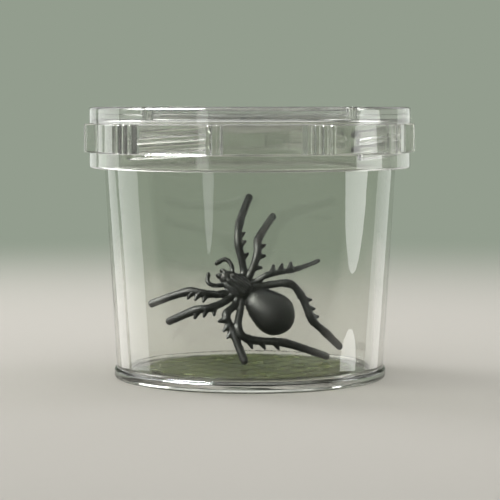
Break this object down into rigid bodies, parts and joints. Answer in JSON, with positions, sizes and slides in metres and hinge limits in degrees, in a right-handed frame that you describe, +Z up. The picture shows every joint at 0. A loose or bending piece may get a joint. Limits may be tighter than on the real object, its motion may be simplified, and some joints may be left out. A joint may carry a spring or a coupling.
{
  "type": "bug catcher jar",
  "caption": "Clear plastic jar with a ribbed screw lid that holds a magnifying lens, a measuring grid on its floor and a loose rubber spider to look at inside.",
  "frame": {"origin": "under the middle of the jar's foot, on the plane that it stands on", "axes": "+Z up along the jar's and the thread's axis; the picture looks along +Y, with +X to its right"},
  "size_m": [0.0685, 0.0679, 0.056],
  "materials": {
    "clear_jar": "clear polished polystyrene",
    "clear_lid": "clear polished polystyrene",
    "clear_lens": "clear optical acrylic",
    "grid_plate": "tinted clear sheet with engraved lines",
    "black_rubber": "soft moulded black rubber with a slight sheen"
  },
  "bodies": {
    "jar": {"jar_body": "clear_jar", "measuring_grid": "grid_plate"},
    "lens": {"magnifier_lens": "clear_lens"},
    "lid": {"lid": "clear_lid"},
    "spider": {"toy_spider": "black_rubber"}
  },
  "joints": [
    {"name": "lid_lift", "type": "slide", "parent": "jar", "child": "lens", "axis": [0, 0, 1], "range_m": [0, 0.024]},
    {"name": "lid_turn", "type": "hinge", "parent": "lens", "child": "lid", "pos_m": [0, 0, 0.0494], "axis": [0, 0, 1], "range_deg": [0, 720]},
    {"name": "spider_lift", "type": "slide", "parent": "jar", "child": "spider", "axis": [0, 0, 1], "range_m": [0, 0.012]}
  ],
  "couplings": [
    {"joint": "lid_lift", "follows": "lid_turn", "m_per_rad": 0.0019099}
  ]
}
